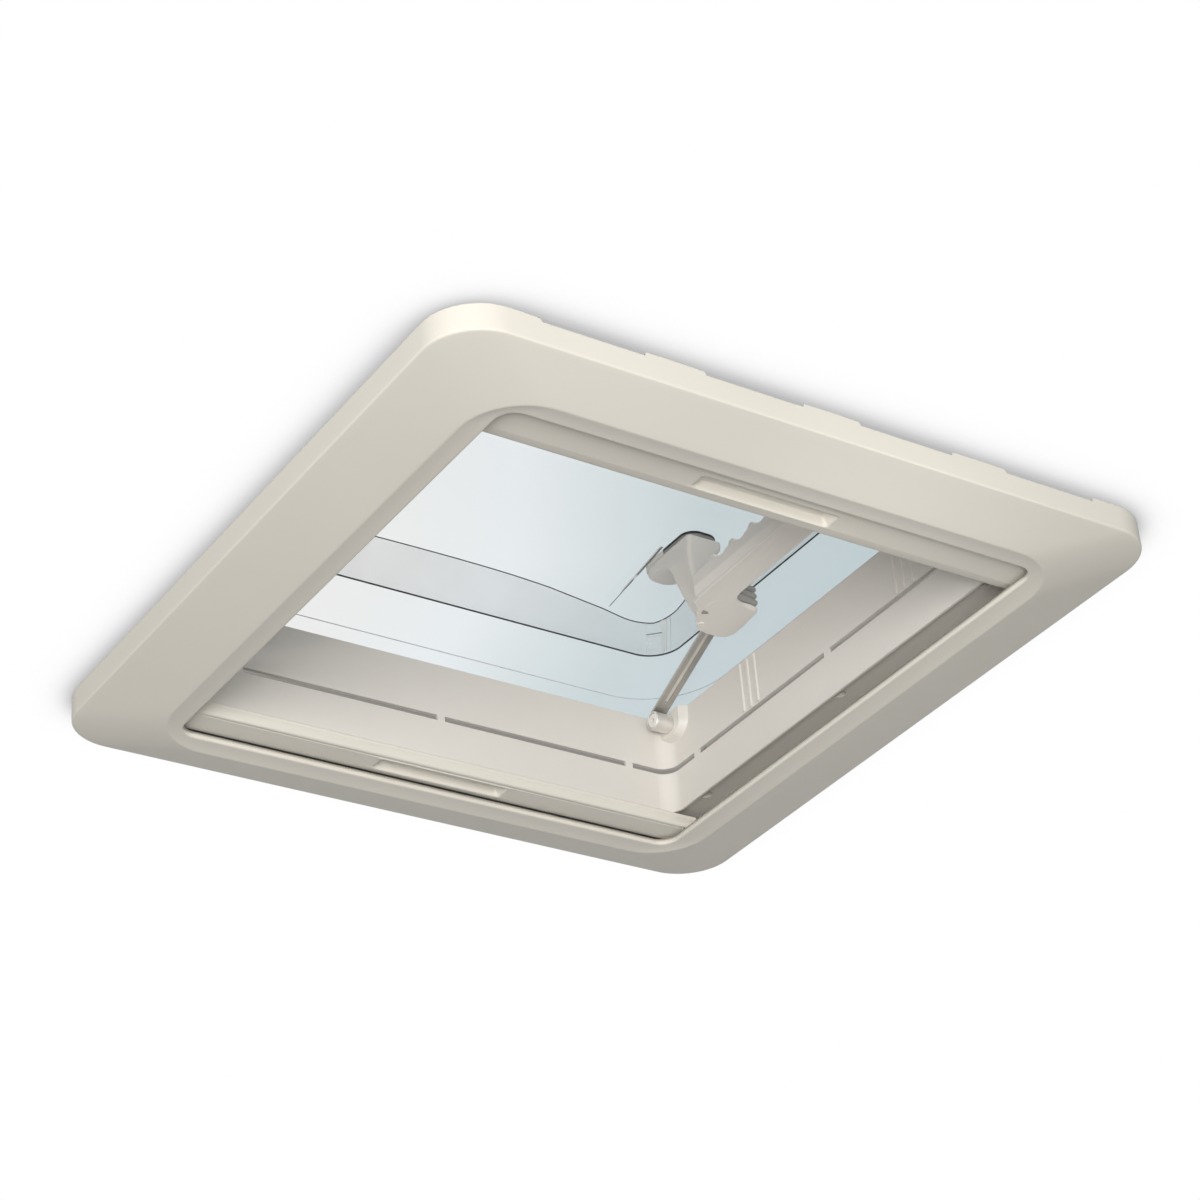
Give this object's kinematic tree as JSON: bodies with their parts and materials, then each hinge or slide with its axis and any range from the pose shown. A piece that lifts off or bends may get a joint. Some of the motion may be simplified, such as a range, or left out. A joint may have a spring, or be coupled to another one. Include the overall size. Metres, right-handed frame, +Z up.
{
  "type": "roof hatch",
  "caption": "Square caravan roof hatch: hinged clear double dome with handle and locking stay, frame through the roof, and an interior frame with pleated blackout and insect blinds.",
  "frame": {"origin": "centre of the roof cut-out, on the roof's outer surface where the flange seats", "axes": "+Z up and out of the roof, +Y towards the hinge side, +X towards the side that carries the handle and the stay"},
  "size_m": [0.52, 0.52, 0.2224],
  "materials": {
    "cream_plastic": "moulded ABS with a fine satin grain",
    "warm_grey_plastic": "satin moulded plastic",
    "dark_grey_plastic": "satin moulded plastic",
    "rail_grey": "extruded plastic, plain",
    "clear_acrylic": "polished clear acrylic with a blue tint at its edges",
    "black_rubber": "soft EPDM",
    "blackout_cloth": "pleated coated polyester",
    "screen_cloth": "pleated insect mesh",
    "stay_steel": "brushed strip",
    "bright_steel": "zinc-plated and polished",
    "dark_steel": "blackened"
  },
  "bodies": {
    "frame": {"roof_frame": "cream_plastic", "dome_seal": "black_rubber", "adapter_collar": "cream_plastic", "clamp_screws": "bright_steel", "ceiling_frame": "cream_plastic", "frame_clips": "dark_grey_plastic", "side_rail_left": "rail_grey", "side_rail_right": "rail_grey", "blackout_cassette": "rail_grey", "flyscreen_cassette": "rail_grey", "blackout_pleats": "blackout_cloth", "flyscreen_pleats": "screen_cloth", "hinge_bracket_left": "bright_steel", "hinge_bracket_right": "bright_steel", "hinge_bracket_screws": "bright_steel", "hinge_pins": "bright_steel", "stay_pin": "bright_steel"},
    "dome": {"inner_dome": "clear_acrylic", "outer_dome": "clear_acrylic", "hinge_leaf_left": "bright_steel", "hinge_leaf_right": "bright_steel", "hinge_leaf_screws": "bright_steel", "handle_grip": "warm_grey_plastic", "stay_bracket": "warm_grey_plastic", "rear_bracket": "warm_grey_plastic", "stay_bracket_gasket": "black_rubber", "rear_bracket_gasket": "black_rubber", "bracket_bolts": "bright_steel", "handle_screws": "dark_steel", "button_spring": "dark_steel"},
    "stay": {"stay_strap": "stay_steel", "stay_sleeve": "bright_steel", "stay_stop": "bright_steel"},
    "button": {"release_button": "dark_grey_plastic", "latch_pawl": "dark_steel"},
    "blackout": {"blackout_bar": "cream_plastic", "blackout_sliders": "dark_grey_plastic"},
    "flyscreen": {"flyscreen_bar": "cream_plastic", "flyscreen_sliders": "dark_grey_plastic"}
  },
  "joints": [
    {"name": "dome_hinge", "type": "hinge", "parent": "frame", "child": "dome", "pos_m": [0, 0.246, 0.036], "axis": [-1, 0, 0], "range_deg": [0, 50]},
    {"name": "stay_pivot", "type": "hinge", "parent": "frame", "child": "stay", "pos_m": [0.179, 0.1793, 0.025], "axis": [-1, 0, 0], "range_deg": [0, 65]},
    {"name": "release_press", "type": "slide", "parent": "dome", "child": "button", "axis": [0, 1, 0], "range_m": [0, 0.004], "stiffness_N_per_m": 500, "springref_m": -0.003, "deforming": ["button_spring"]},
    {"name": "blackout_slide", "type": "slide", "parent": "frame", "child": "blackout", "axis": [0, 1, 0], "range_m": [0, 0.355], "deforming": ["blackout_pleats"]},
    {"name": "flyscreen_slide", "type": "slide", "parent": "frame", "child": "flyscreen", "axis": [0, 1, 0], "range_m": [-0.355, 0], "deforming": ["flyscreen_pleats"]}
  ],
  "couplings": [
    {"joint": "stay_pivot", "follows": "dome_hinge", "ratio": 1.28}
  ]
}
